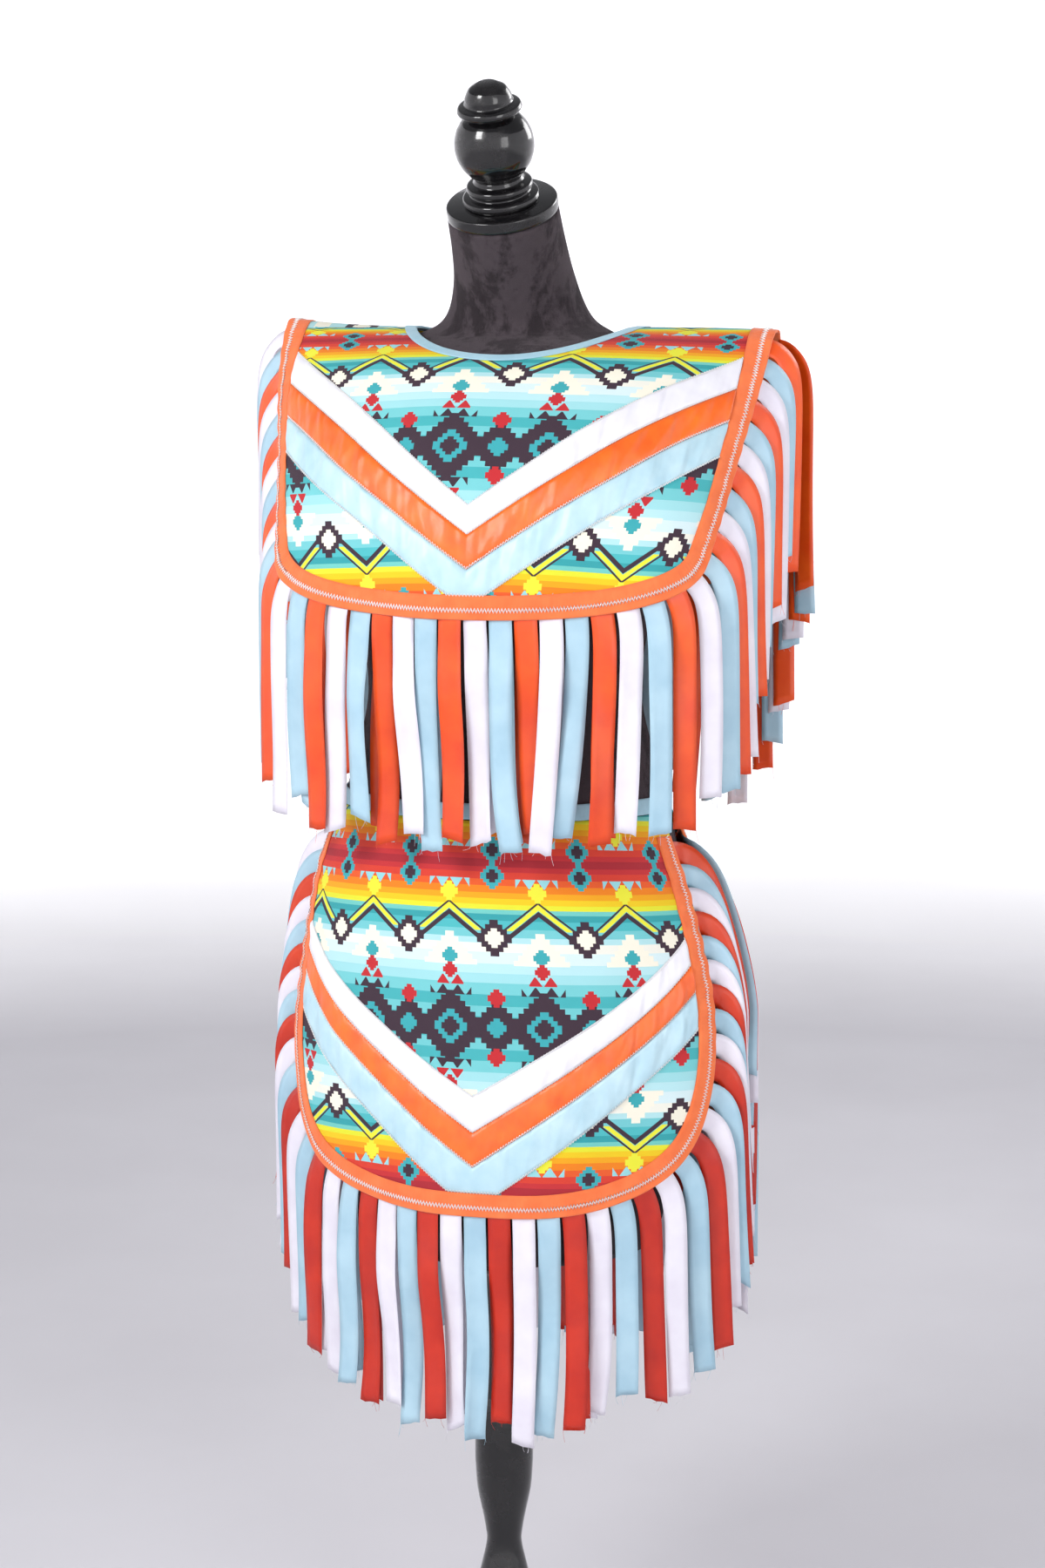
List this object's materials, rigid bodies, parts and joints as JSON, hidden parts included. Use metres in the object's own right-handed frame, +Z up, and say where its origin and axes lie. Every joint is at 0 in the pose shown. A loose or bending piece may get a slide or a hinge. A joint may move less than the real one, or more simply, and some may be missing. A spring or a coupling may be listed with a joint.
{
  "type": "ribbon-fringed cape and apron on a limbless dress form",
  "caption": "Printed shoulder cape and apron with ribbon chevrons, bound edges and long satin ribbon fringe, worn by a limbless black dress form on a turned stand.",
  "frame": {"origin": "on the stand's axis, at the underside of its round base", "axes": "+Z up along the stand's pole; the garment's front faces -Y; +X is the wearer's left"},
  "size_m": [0.5381, 0.3404, 1.5831],
  "materials": {
    "velvet": "black velvet with a mottled nap",
    "gloss_black": "black lacquered turned wood",
    "printed_cotton": "matt printed cotton, stepped bands of red, orange, yellow, teal and cream",
    "orange_binding": "matt bias binding with a white zigzag stitch",
    "light_blue_binding": "matt light-blue tape",
    "white_satin": "satin",
    "orange_satin": "satin",
    "light_blue_satin": "satin",
    "ribbon_fringe": "satin ribbons in orange, white and light blue by turns"
  },
  "bodies": {
    "root": {"form_torso": "velvet", "form_cap": "gloss_black", "form_finial": "gloss_black", "form_pole": "gloss_black", "form_base": "gloss_black", "cape_front": "printed_cotton", "cape_front_binding": "orange_binding", "cape_front_chevron_white": "white_satin", "cape_front_chevron_orange": "orange_satin", "cape_front_chevron_blue": "light_blue_satin", "cape_front_fringe": "ribbon_fringe", "cape_back": "printed_cotton", "cape_back_binding": "orange_binding", "cape_back_chevron_white": "white_satin", "cape_back_chevron_orange": "orange_satin", "cape_back_chevron_blue": "light_blue_satin", "cape_back_fringe": "ribbon_fringe", "cape_neck_binding": "light_blue_binding", "apron_front": "printed_cotton", "apron_front_binding": "orange_binding", "apron_front_chevron_white": "white_satin", "apron_front_chevron_orange": "orange_satin", "apron_front_chevron_blue": "light_blue_satin", "apron_front_fringe": "ribbon_fringe", "apron_back": "printed_cotton", "apron_back_binding": "orange_binding", "apron_back_chevron_white": "white_satin", "apron_back_chevron_orange": "orange_satin", "apron_back_chevron_blue": "light_blue_satin", "apron_back_fringe": "ribbon_fringe", "apron_waistband": "light_blue_binding"}
  },
  "joints": []
}
